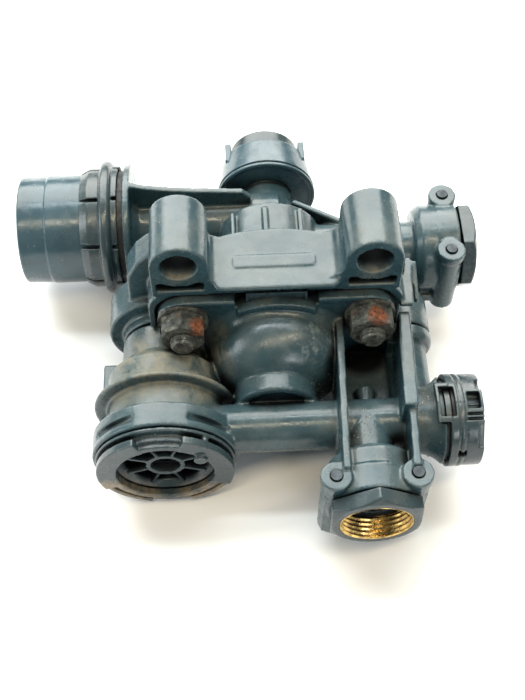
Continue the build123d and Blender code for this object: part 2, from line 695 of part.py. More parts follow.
def exhaust_ring():
    """Bayonet ring: flange, skirt, inner wall, two wide claws and two low claws with only an outer wall."""
    wall_in = GRILLE_R - 1.2
    wall_out = 17.6
    low_front = RING_FRONT + 0.8
    wall_back = GRILLE_FRONT - 0.4
    parts = [
        ring_y(wall_back, -36.6, 17.3, 18.6, COLUMN_X, COLUMN_Z),
        ring_y(RING_FLANGE_FRONT, RING_FLANGE_FRONT + 1.0, 17.4, RING_R + 0.4, COLUMN_X, COLUMN_Z),
        ring_y(RING_FRONT + 0.2, wall_back, wall_in, wall_out, COLUMN_X, COLUMN_Z),
        ring_y(RING_FACE_BACK - 0.6, RING_FLANGE_FRONT + 0.5, 17.4, RING_R - 2.4, COLUMN_X, COLUMN_Z),
        ring_sector(RING_FRONT, RING_FACE_BACK, wall_in, RING_R, 113.0, 92.0),
        ring_sector(RING_FRONT, RING_FACE_BACK, wall_in, RING_R, -24.0, 96.0),
        ring_sector(low_front, RING_FACE_BACK, RING_R - 1.8, RING_R, 204.0, 50.0),
        ring_sector(low_front, RING_FACE_BACK, RING_R - 1.8, RING_R, -70.0, 47.0),
        ring_sector(RING_FACE_BACK - 0.6, RING_FACE_BACK, 17.4, RING_R, 204.0, 132.0),
    ]
    for angle, radius, front, back, size in KNOBS:
        lean = math.radians(angle)
        knob_x = COLUMN_X + radius * math.cos(lean)
        knob_z = COLUMN_Z + radius * math.sin(lean)
        parts.append(cyl_y(front, back, size, knob_x, knob_z))
    return fuse(parts)


def exhaust_grille():
    """Round grille: sloping rim, eight thin spokes and a hub that guides the check valve."""
    rim = ring_y(GRILLE_FRONT, -31.0, 12.9, GRILLE_R - 0.1, COLUMN_X, COLUMN_Z)
    rim = rim - cone_y(GRILLE_FRONT - 0.1, GRILLE_FRONT + 1.7, 15.2, 12.9, COLUMN_X, COLUMN_Z)
    hub = ring_y(GRILLE_FRONT, -36.0, 3.0 + RUN_GAP, 6.1, COLUMN_X, COLUMN_Z)
    hub = hub - cyl_y(GRILLE_FRONT - 1, -39.4, 4.6, COLUMN_X, COLUMN_Z)
    spokes = []
    for k in range(8):
        turn = 22.5 + 45 * k
        lean = math.radians(turn)
        centre = Pos(COLUMN_X + 9.5 * math.cos(lean), -40.5, COLUMN_Z + 9.5 * math.sin(lean))
        spokes.append(centre * Rot(0, -turn, 0) * Box(7.6, 3.4, 1.0))
    return fuse([rim, hub] + spokes)


def grille_seal():
    return ring_y(-30.9, -30.65, 13.4, 16.2, COLUMN_X, COLUMN_Z)


def check_valve():
    plate = cyl_y(-30.0, CHECK_SEAT - 0.15, 11.6, COLUMN_X, COLUMN_Z)
    stem = cyl_y(-38.6, -29.0, 3.0, COLUMN_X, COLUMN_Z)
    return plate + stem


def check_valve_spring():
    return coil_y(-35.95, -30.05, 4.4, 0.5, 3.5, COLUMN_X, COLUMN_Z)


def column_spigot_ring():
    """Sleeve that lines up the two halves of the exhaust column."""
    return ring_y(-4.0, 9.0, 8.0, 9.45, COLUMN_X, COLUMN_Z)


# ---------------------------------------------------------------- limiter on the left

def limiter_cap():
    outer = fuse([
        cyl_x(CAP_END + 0.5, CAP_STEP, CAP_R - 0.35, CAP_Y),
        cone_x(CAP_END, CAP_END + 0.5, CAP_R - 0.85, CAP_R - 0.35, CAP_Y),
        cyl_x(CAP_STEP - 0.1, CAP_BEAD_LEFT, CAP_R, CAP_Y),
        cyl_x(CAP_BEAD_LEFT - 1, CAP_BEAD_RIGHT - 0.4, 17.2, CAP_Y),
    ])
    return outer - cyl_x(CAP_FLOOR, -50.0, 15.6, CAP_Y)


def limiter_clamp_ring():
    """Bead ring with eight bevelled clip segments on its left and a notched collar on its right."""
    bead = ring_x(CAP_BEAD_LEFT, CAP_BEAD_RIGHT, 17.5, CAP_BEAD_R, CAP_Y)
    bead = fillet(bead.edges().filter_by(GeomType.CIRCLE).sort_by(SortBy.RADIUS)[-2:], 1.7)
    inner = CAP_R + 0.05
    full = CAP_R + 1.9
    bevel_end = CAP_CLIP_LEFT + 3.0
    clips = fuse([
        cone_x(CAP_CLIP_LEFT, bevel_end, inner + 0.3, full, CAP_Y),
        cyl_x(bevel_end - 0.1, CAP_BEAD_LEFT + 0.1, full, CAP_Y),
    ])
    clips = clips - cyl_x(CAP_CLIP_LEFT - 1, CAP_BEAD_LEFT + 1, inner, CAP_Y)
    collar = ring_x(CAP_BEAD_RIGHT - 0.1, CLAMP_RING_RIGHT, 17.5, DISC_R - 0.3, CAP_Y)
    for k in range(8):
        angle = 13.2 + 45 * k
        lean = math.radians(angle)
        centre = Pos(CAP_CLIP_LEFT + 3.3, CAP_Y + 19.9 * math.cos(lean), 19.9 * math.sin(lean))
        clips = clips - centre * Rot(angle, 0, 0) * Box(6.8, 5.0, 1.4)
        centre = Pos(CLAMP_RING_RIGHT, CAP_Y + 21.0 * math.cos(lean), 21.0 * math.sin(lean))
        collar = collar - centre * Rot(angle, 0, 0) * Box(3.6, 3.4, 1.4)
    return fuse([bead, clips, collar])


def limiter_gasket():
    inner = ring_x(CAP_BEAD_RIGHT, DISC_LEFT, 15.7, 17.4, CAP_Y)
    return inner + ring_x(CLAMP_RING_RIGHT, DISC_LEFT, 15.7, 19.6, CAP_Y)


def limiter_piston():
    disc = cyl_x(-61.0, -56.0, 15.5, CAP_Y) - ring_x(-59.4, -57.6, 13.9, 20.0, CAP_Y)
    disc = disc - cyl_x(-62.0, -58.6, 8.5, CAP_Y)
    rod = cyl_x(-57.0, -30.0, 4.0, CAP_Y)
    return disc + rod


def limiter_piston_ring():
    return seal_x(-58.5, 14.76, 0.75, CAP_Y)


def limiter_spring():
    path_length = 61.05 - 82.45
    coil = coil_y(0.0, -path_length, 11.5, 1.2, 5.0)
    return Pos(-82.45, CAP_Y, 0) * Rot(0, 0, -90) * coil


def limiter_bush():
    """Guide bush for the piston rod."""
    return ring_x(-46.0, -34.0, 4.0 + RUN_GAP, 7.95, CAP_Y)


# ---------------------------------------------------------------- vent cap at the back

def vent_cap():
    """Cup on the end of the tube: rim ring, dark groove, slightly tapered shell and two lugs."""
    outer = fuse([
        cyl_y(VENT_FRONT, VENT_FRONT + 1.3, VENT_R),
        cyl_y(VENT_FRONT + 1.2, VENT_FRONT + 2.0, VENT_R - 0.8),
        cone_y(VENT_FRONT + 1.9, VENT_BACK, VENT_R, VENT_BACK_R),
    ])
    for side in (-1, 1):
        outer = outer + block(side * 13.2 - 1.1, side * 13.2 + 1.1, 72.0, 80.2, 6.6, 9.6)
    outer = outer - cyl_y(VENT_FRONT - 1, VENT_FRONT + 0.7, VENT_R - 1.5)
    hollow = cyl_y(65.0, 80.0, 12.6)
    hub = ring_y(64.0, 69.4, SPIGOT_R + 0.1, 10.6)
    return outer - hollow + hub - cyl_y(60.0, 66.0, SPIGOT_R + 0.1)


def vent_plug():
    body = cyl_y(74.0, VENT_END, 12.5) - cyl_y(73.0, 81.0, 10.4)
    body = chamfer(body.edges().filter_by(GeomType.CIRCLE).sort_by(Axis.Y)[-1:], 0.9)
    for k in range(6):
        lean = math.radians(60 * k)
        body = body - cyl_y(80.0, 86.0, 1.5, 6.5 * math.cos(lean), 6.5 * math.sin(lean))
    return body


def vent_filter():
    return cyl_y(74.5, 80.5, 10.3)


def vent_seal():
    return seal_y(66.8, 8.15, 0.52)


# ---------------------------------------------------------------- swivel port fittings

def port_head(turn):
    """Chamfered hexagon whose open face is at Z = 0, going down to negative Z."""
    outline = RegularPolygon(PORT_HEX / 2, 6, major_radius=False, rotation=turn)
    head = Pos(0, 0, -PORT_HEX_LENGTH) * extrude(outline, PORT_HEX_LENGTH)
    crown = Pos(0, 0, -5.0) * Cone(PORT_HEX / 2 - 0.3 + 10.0 * 1.73, PORT_HEX / 2 - 0.3, 10.0)
    return head & crown


def port_fitting(length, turn):
    barrel_length = length - PORT_HEX_LENGTH + 1
    barrel = Pos(0, 0, -(PORT_HEX_LENGTH + length) / 2 + 0.5) * Cylinder(PORT_BARREL_R, barrel_length)
    body = port_head(turn) + barrel
    body = body - Pos(0, 0, -length / 2) * Cylinder(7.4, length + 4)
    # seat of the threaded sleeve
    body = body - Pos(0, 0, -PORT_THREAD_LENGTH / 2) * Cylinder(SLEEVE_R + 0.02, PORT_THREAD_LENGTH + 0.02)
    # groove for the retaining pins
    groove = Cylinder(20, 4.0) - Cylinder(PORT_BARREL_R - 1.55, 4.0)
    body = body - Pos(0, 0, -PIN_BACK) * groove
    seal_groove = Cylinder(20, 1.9) - Cylinder(PORT_BARREL_R - 1.6, 1.9)
    return body - Pos(0, 0, -length + 2.1) * seal_groove


def port_sleeve():
    """Thin threaded brass sleeve, level with the face of the fitting."""
    body = Pos(0, 0, -PORT_THREAD_LENGTH / 2) * Cylinder(SLEEVE_R, PORT_THREAD_LENGTH)
    return body - Pos(0, 0, -4) * Cylinder(PORT_BORE_R, 12)


def port_seal(length):
    return Pos(0, 0, -length + 2.1) * Torus(10.95, 0.8)


FRONT_PORT_LENGTH = 19.4
RIGHT_PORT_LENGTH = 14.9
RIGHT_HEX_TURN = 3.0
SLEEVE_R = 11.03


def on_front_port(shape):
    return Pos(FRONT_PORT_X, FRONT_PORT_FACE, 0) * Rot(90, 0, 0) * shape


def on_right_port(shape):
    return Pos(RIGHT_PORT_FACE, RIGHT_PORT_Y, 0) * Rot(0, 90, 0) * Rot(0, 0, 90) * shape


def port_pins(points, bottom):
    return [cyl_z(bottom - 0.4, PIN_TOP + 0.6, PIN_R, x, y) for x, y in points]


def front_port_pins():
    y = FRONT_PORT_FACE + PIN_BACK
    return port_pins([(FRONT_PORT_X - PIN_OFFSET, y), (FRONT_PORT_X + PIN_OFFSET, y)], PIN_BOTTOM)


def right_port_pins():
    x = RIGHT_PORT_FACE - PIN_BACK
    return port_pins([(x, RIGHT_PORT_Y - PIN_OFFSET), (x, RIGHT_PORT_Y + PIN_OFFSET)], RIGHT_PIN_BOTTOM)


# ---------------------------------------------------------------- connector and solenoid

def connector_body():
    spigot = cyl_x(46.2, CONNECTOR_LEFT, 9.65, PIPE_Y)
    flange = cyl_x(49.9, 51.4, 12.4, PIPE_Y)
    shroud = cyl_x(51.0, CONNECTOR_RIGHT - 0.8, SHROUD_R, PIPE_Y)
    cavity = cyl_x(53.6, CONNECTOR_RIGHT + 1, 9.2, PIPE_Y)
    body = spigot + flange + shroud - cavity
    for y, z in contact_points():
        body = body - cyl_x(45.0, 55.0, 0.8, y, z)
    return body


def contact_points():
    points = []
    for k in range(4):
        lean = math.radians(45 + 90 * k)
        points.append((PIPE_Y + 5.0 * math.cos(lean), 5.0 * math.sin(lean)))
    return points


def connector_contacts():
    return [cyl_x(47.0, 59.6, 0.78, y, z) for y, z in contact_points()]


def connector_seal():
    return ring_x(52.0, 53.2, SHROUD_R + 0.02, 12.2, PIPE_Y)


def ring_cut(x0, x1, angle, width, depth=3.4):
    """Box that cuts a window through the locking ring at an angle from +Y towards +Z."""
    lean = math.radians(angle)
    radius = CONNECTOR_R - 0.6
    centre = Pos((x0 + x1) / 2, PIPE_Y + radius * math.cos(lean), radius * math.sin(lean))
    return centre * Rot(angle, 0, 0) * Box(x1 - x0, depth, width)


def connector_ring():
    """Locking ring: a windowed band, a narrow band with two window frames, and a thin raised ring between."""
    inner_left = SHROUD_R + 1.3
    inner_right = SHROUD_R + 0.15
    bands = [
        ring_x(50.8, 53.4, inner_left, CONNECTOR_R, PIPE_Y),
        ring_x(53.2, 55.9, inner_left, CONNECTOR_R - 1.0, PIPE_Y),
        ring_x(54.0, 55.2, inner_left, CONNECTOR_R, PIPE_Y),
        ring_x(55.8, CONNECTOR_RIGHT, inner_right, CONNECTOR_R - 0.2, PIPE_Y),
    ]
    for middle in FRAME_ANGLES:
        bands.append(pipe_sector(LOCK_RING_LEFT, 51.0, inner_left, CONNECTOR_R + 0.3,
                                 middle - FRAME_ARC / 2, FRAME_ARC))
    ring = fuse(bands)
    for middle in FRAME_ANGLES:
        cuts = [
            ring_cut(47.9, 52.6, middle, 10.0, 5.0),
            ring_cut(56.3, 60.3, middle, 5.6, 5.0),
            ring_cut(55.9, 62.0, middle + 18.5, 0.9, 1.6),
            ring_cut(55.9, 62.0, middle + 24.5, 0.9, 1.6),
            ring_cut(59.3, 62.0, middle + 46.0, 8.0, 1.6),
            ring_cut(53.3, 55.8, middle + 73.0, 2.0, 3.0),
            ring_cut(59.6, 62.0, middle - 24.0, 4.6, 3.2),
        ]
        ring = ring - fuse(cuts)
    return ring


def solenoid_bobbin():
    spool = fuse([
        ring_y(3.2, 14.4, 3.1, 4.0, SOLENOID_X, SOLENOID_Z),
        ring_y(3.2, 4.2, 3.1, 6.6, SOLENOID_X, SOLENOID_Z),
        ring_y(13.4, 14.4, 3.1, 6.6, SOLENOID_X, SOLENOID_Z),
    ])
    return spool


def solenoid_coil():
    return ring_y(4.3, 13.3, 4.05, 6.4, SOLENOID_X, SOLENOID_Z)


def solenoid_core():
    return cyl_y(10.4, 14.5, 3.05, SOLENOID_X, SOLENOID_Z)


def solenoid_armature():
    body = cyl_y(0.6, 8.4, 3.03, SOLENOID_X, SOLENOID_Z)
    nose = cone_y(-0.3, 0.6, 1.2, 2.4, SOLENOID_X, SOLENOID_Z)
    return body + nose


def armature_spring():
    return coil_y(8.45, 10.35, 1.9, 0.25, 2.5, SOLENOID_X, SOLENOID_Z)


NODES = {
    "front_housing": front_housing,
    "seam_gasket": seam_gasket,
    "housing_bolts": housing_bolts,
    "housing_nuts": housing_nuts,
    "housing_washers": housing_washers,
    "label_plate": label_plate,
    "relay_piston": relay_piston,
    "relay_piston_ring": relay_piston_ring,
    "relay_spring": relay_spring,
    "relay_valve": relay_valve,
    "relay_valve_spring": relay_valve_spring,
    "valve_guide": valve_guide,
    "guide_clip": guide_clip,
    "exhaust_ring": exhaust_ring,
    "exhaust_grille": exhaust_grille,
    "grille_seal": grille_seal,
    "check_valve": check_valve,
    "check_valve_spring": check_valve_spring,
    "column_spigot_ring": column_spigot_ring,
    "limiter_cap": limiter_cap,
    "limiter_clamp_ring": limiter_clamp_ring,
    "limiter_gasket": limiter_gasket,
    "limiter_piston": limiter_piston,
    "limiter_piston_ring": limiter_piston_ring,
    "limiter_spring": limiter_spring,
    "limiter_bush": limiter_bush,
    "vent_cap": vent_cap,
    "vent_plug": vent_plug,
    "vent_filter": vent_filter,
    "vent_seal": vent_seal,
    "front_port_fitting": lambda: on_front_port(port_fitting(FRONT_PORT_LENGTH, HEX_UP)),
    "front_port_sleeve": lambda: on_front_port(port_sleeve()),
    "front_port_seal": lambda: on_front_port(port_seal(FRONT_PORT_LENGTH)),
    "front_port_pins": front_port_pins,
    "right_port_fitting": lambda: on_right_port(port_fitting(RIGHT_PORT_LENGTH, RIGHT_HEX_TURN)),
    "right_port_sleeve": lambda: on_right_port(port_sleeve()),
    "right_port_seal": lambda: on_right_port(port_seal(RIGHT_PORT_LENGTH)),
    "right_port_pins": right_port_pins,
    "connector_body": connector_body,
    "connector_contacts": connector_contacts,
    "connector_seal": connector_seal,
    "connector_ring": connector_ring,
    "solenoid_bobbin": solenoid_bobbin,
    "solenoid_coil": solenoid_coil,
    "solenoid_core": solenoid_core,
    "solenoid_armature": solenoid_armature,
    "armature_spring": armature_spring,
}


def place(shape):
    """Move a shape from the port-axis drawing frame to the mounting frame."""
    lowered = Pos(0, 0, -BOSS_RISE)
    if isinstance(shape, list):
        return Compound(children=[lowered * piece for piece in shape])
    return lowered * shape


def main():
    os.makedirs("parts", exist_ok=True)
    for name, make in NODES.items():
        export_step(place(make()), f"parts/{name}.step")
    for name, shape in split_rear_moulding().items():
        export_step(place(shape), f"parts/{name}.step")


main()
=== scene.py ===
import json
import math

import bpy
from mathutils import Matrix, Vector


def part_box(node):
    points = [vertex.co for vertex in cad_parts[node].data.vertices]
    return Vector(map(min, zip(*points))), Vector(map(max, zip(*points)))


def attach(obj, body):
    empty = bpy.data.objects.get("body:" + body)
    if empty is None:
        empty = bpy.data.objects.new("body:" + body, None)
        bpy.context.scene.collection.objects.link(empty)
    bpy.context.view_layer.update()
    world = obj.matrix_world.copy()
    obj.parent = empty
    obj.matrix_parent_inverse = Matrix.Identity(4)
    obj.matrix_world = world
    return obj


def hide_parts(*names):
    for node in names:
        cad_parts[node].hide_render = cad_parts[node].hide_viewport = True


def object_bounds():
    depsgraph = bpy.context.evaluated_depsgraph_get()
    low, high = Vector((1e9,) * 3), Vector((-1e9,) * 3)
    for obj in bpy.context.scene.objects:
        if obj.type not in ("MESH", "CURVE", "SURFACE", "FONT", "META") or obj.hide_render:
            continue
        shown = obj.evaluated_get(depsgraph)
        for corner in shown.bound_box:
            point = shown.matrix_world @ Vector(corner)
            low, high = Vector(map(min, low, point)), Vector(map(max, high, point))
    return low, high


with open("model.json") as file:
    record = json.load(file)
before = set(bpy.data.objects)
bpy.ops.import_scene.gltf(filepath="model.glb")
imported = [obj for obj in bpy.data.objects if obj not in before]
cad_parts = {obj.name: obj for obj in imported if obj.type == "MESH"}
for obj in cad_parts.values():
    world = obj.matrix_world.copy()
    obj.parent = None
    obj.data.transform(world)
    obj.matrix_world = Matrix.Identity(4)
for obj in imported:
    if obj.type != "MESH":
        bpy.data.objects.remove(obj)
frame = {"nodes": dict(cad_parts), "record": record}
CAD_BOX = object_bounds()
BODY = "valve_body"


# ---------------------------------------------------------------- places read from the frame

def middle(node):
    low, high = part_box(node)
    return (low + high) / 2


def mount_place(name):
    return next(Vector(m["pos_m"]) for m in frame["record"]["mounts"] if m["name"] == name)


AXIS_Z = middle("limiter_cap").z            # height of the main port axis
COLUMN = middle("exhaust_grille")
FLOOR_Z = CAD_BOX[0].z
FLOOR_HALF = 3.0
WORLD_LIGHT = 0.20


# ---------------------------------------------------------------- camera, light and floor

CAMERA_AZIMUTH = -2.7
CAMERA_ELEVATION = 57.0
CAMERA_DISTANCE = 0.3451
CAMERA_LENS = 54.0
CAMERA_TARGET = Vector((-0.0045, -0.0035, AXIS_Z))


def make_camera():
    turn = math.radians(CAMERA_AZIMUTH)
    rise = math.radians(CAMERA_ELEVATION)
    back = Vector((math.sin(turn) * math.cos(rise), -math.cos(turn) * math.cos(rise), math.sin(rise)))
    data = bpy.data.cameras.new("camera")
    data.lens = CAMERA_LENS
    data.sensor_width = 36.0
    data.clip_start = 0.01
    data.clip_end = 50.0
    camera = bpy.data.objects.new("camera", data)
    camera.rotation_mode = "QUATERNION"
    camera.location = CAMERA_TARGET + back * CAMERA_DISTANCE
    camera.rotation_quaternion = (-back).to_track_quat("-Z", "Y")
    bpy.context.collection.objects.link(camera)
    bpy.context.scene.camera = camera


def area_light(name, place, width, height, watts, colour):
    """Soft box that faces the object."""
    data = bpy.data.lights.new(name, "AREA")
    data.shape = "RECTANGLE"
    data.size = width
    data.size_y = height
    data.energy = watts
    data.color = colour
    lamp = bpy.data.objects.new(name, data)
    lamp.location = place
    aim = Vector((0.0, 0.0, AXIS_Z))
    lamp.rotation_euler = (aim - Vector(place)).to_track_quat("-Z", "Y").to_euler()
    bpy.context.collection.objects.link(lamp)


def sky_point(angle, distance, x=0.0):
    """Place above the object; the angle runs from the front horizon over the zenith to the back."""
    lean = math.radians(angle)
    return Vector((x, -math.cos(lean) * distance, AXIS_Z + math.sin(lean) * distance))


def make_light():
    world = bpy.data.worlds.new("studio")
    world.use_nodes = True
    background = world.node_tree.nodes["Background"]
    background.inputs["Color"].default_value = (0.86, 0.96, 1.0, 1.0)
    background.inputs["Strength"].default_value = WORLD_LIGHT
    bpy.context.scene.world = world
    bpy.context.scene.view_settings.view_transform = "Standard"
    area_light("back_box", sky_point(138.0, 1.15, -0.1), 1.7, 1.0, 40.0, (1.0, 0.995, 0.95))
    area_light("top_strip", sky_point(107.0, 1.0), 1.5, 0.085, 6.5, (0.88, 0.97, 1.0))
    area_light("warm_strip", sky_point(73.0, 1.0, 0.1), 1.3, 0.060, 6.5, (1.0, 0.86, 0.62))
    area_light("front_fill", sky_point(24.0, 1.3, 0.5), 0.5, 0.35, 3.5, (0.95, 0.98, 1.0))
    area_light("left_fill", (-1.0, -0.1, 0.30), 0.35, 0.5, 4.0, (0.92, 0.97, 1.0))


def make_floor():
    mesh = bpy.data.meshes.new("floor")
    sides = ((-1, -1), (1, -1), (1, 1), (-1, 1))
    corners = [(FLOOR_HALF * x, FLOOR_HALF * y, FLOOR_Z) for x, y in sides]
    mesh.from_pydata(corners, [], [(0, 1, 2, 3)])
    floor = bpy.data.objects.new("floor", mesh)
    bpy.context.collection.objects.link(floor)
    mat = bpy.data.materials.new("floor_paper")
    mat.use_nodes = True
    shader = mat.node_tree.nodes["Principled BSDF"]
    shader.inputs["Base Color"].default_value = (0.93, 0.93, 0.93, 1.0)
    shader.inputs["Roughness"].default_value = 0.9
    mesh.materials.append(mat)


# ---------------------------------------------------------------- material nodes

class Nodes:
    """Small helper that adds nodes to one material and links them."""

    def __init__(self, name):
        self.material = bpy.data.materials.new(name)
        self.material.use_nodes = True
        self.tree = self.material.node_tree
        self.shader = self.tree.nodes["Principled BSDF"]
        coords = self.tree.nodes.new("ShaderNodeTexCoord")
        self.place = coords.outputs["Object"]
        geometry = self.tree.nodes.new("ShaderNodeNewGeometry")
        self.normal = geometry.outputs["Normal"]

    def link(self, source, target):
        self.tree.links.new(source, target)

    def feed(self, value, socket):
        if isinstance(value, bpy.types.NodeSocket):
            self.link(value, socket)
        else:
            socket.default_value = value

    def noise(self, scale, detail=4.0, rough=0.55, distort=0.0, stretch=None):
        node = self.tree.nodes.new("ShaderNodeTexNoise")
        node.inputs["Scale"].default_value = scale
        node.inputs["Detail"].default_value = detail
        node.inputs["Roughness"].default_value = rough
        node.inputs["Distortion"].default_value = distort
        self.link(self.stretched(stretch) if stretch else self.place, node.inputs["Vector"])
        return node.outputs["Fac"]

    def stretched(self, factors):
        node = self.tree.nodes.new("ShaderNodeMapping")
        node.inputs["Scale"].default_value = factors
        self.link(self.place, node.inputs["Vector"])
        return node.outputs["Vector"]

    def cells(self, scale):
        node = self.tree.nodes.new("ShaderNodeTexVoronoi")
        node.inputs["Scale"].default_value = scale
        self.link(self.place, node.inputs["Vector"])
        return node.outputs["Distance"]

    def ramp(self, value, low, high, from_value=0.0, to_value=1.0):
        node = self.tree.nodes.new("ShaderNodeMapRange")
        node.interpolation_type = "SMOOTHSTEP"
        node.inputs["From Min"].default_value = low
        node.inputs["From Max"].default_value = high
        node.inputs["To Min"].default_value = from_value
        node.inputs["To Max"].default_value = to_value
        self.link(value, node.inputs["Value"])
        return node.outputs["Result"]

    def math(self, operation, a, b=0.0, clamp=False):
        node = self.tree.nodes.new("ShaderNodeMath")
        node.operation = operation
        node.use_clamp = clamp
        self.feed(a, node.inputs[0])
        self.feed(b, node.inputs[1])
        return node.outputs[0]

    def blend(self, amount, first, second, kind="MIX"):
        node = self.tree.nodes.new("ShaderNodeMix")
        node.data_type = "RGBA"
        node.blend_type = kind
        self.feed(amount, node.inputs["Factor"])
        for value, letter in ((first, "A"), (second, "B")):
            socket = [s for s in node.inputs if s.name == letter and s.type == "RGBA"][0]
            self.feed((*value, 1.0) if isinstance(value, tuple) else value, socket)
        return [s for s in node.outputs if s.type == "RGBA"][0]

    def recess(self, distance, samples=8):
        """1 in open places, 0 deep in a corner."""
        node = self.tree.nodes.new("ShaderNodeAmbientOcclusion")
        node.samples = samples
        node.inputs["Distance"].default_value = distance
        return node.outputs["AO"]

    def edges(self, distance, samples=8):
        """1 on flat stretches, less on outward corners."""
        node = self.tree.nodes.new("ShaderNodeAmbientOcclusion")
        node.samples = samples
        node.inside = True
        node.inputs["Distance"].default_value = distance
        return node.outputs["AO"]

    def upward(self):
        node = self.tree.nodes.new("ShaderNodeSeparateXYZ")
        self.link(self.normal, node.inputs[0])
        return node.outputs["Z"]

    def near(self, spots, full, none):
        """1 within one distance of any spot, fading to 0 at the other; a spot may bring its own scale."""
        total = None
        for spot in spots:
            spot, times = (spot[:3], spot[3]) if len(spot) == 4 else (spot, 1.0)
            node = self.tree.nodes.new("ShaderNodeVectorMath")
            node.operation = "DISTANCE"
            self.link(self.place, node.inputs[0])
            node.inputs[1].default_value = spot
            mask = self.ramp(node.outputs["Value"], full * times, none * times, 1.0, 0.0)
            total = mask if total is None else self.math("MAXIMUM", total, mask)
        return total

    def rings(self, period, axis):
        """Ridges at a steady spacing along one axis."""
        node = self.tree.nodes.new("ShaderNodeTexWave")
        node.wave_type = "BANDS"
        node.bands_direction = axis
        node.wave_profile = "TRI"
        node.inputs["Scale"].default_value = 1.0 / period * 0.3142
        node.inputs["Detail"].default_value = 0.0
        self.link(self.place, node.inputs["Vector"])
        return node.outputs["Fac"]

    def bump(self, height, distance, strength=1.0, below=None):
        node = self.tree.nodes.new("ShaderNodeBump")
        node.inputs["Strength"].default_value = strength
        node.inputs["Distance"].default_value = distance
        self.link(height, node.inputs["Height"])
        if below is not None:
            self.link(below, node.inputs["Normal"])
        return node.outputs["Normal"]

    def finish(self, colour, roughness, normal=None, metallic=None):
        self.link(colour, self.shader.inputs["Base Color"])
        self.link(roughness, self.shader.inputs["Roughness"])
        if normal is not None:
            self.link(normal, self.shader.inputs["Normal"])
        if metallic is not None:
            self.feed(metallic, self.shader.inputs["Metallic"])
        return self.material


SAND = (0.235, 0.205, 0.135)
# very dark colour of the painted shade in recesses and corners, and of the grime there
SHADE_AND_GRIME_DARK = (0.006, 0.007, 0.009)
TAN = (0.27, 0.195, 0.115)
HAZE = (0.20, 0.215, 0.20)
SCUFF = (0.36, 0.38, 0.35)
SPECK = (0.42, 0.38, 0.31)
CRUST_DARK = (0.022, 0.024, 0.024)
CRUST_LIGHT = (0.088, 0.094, 0.078)


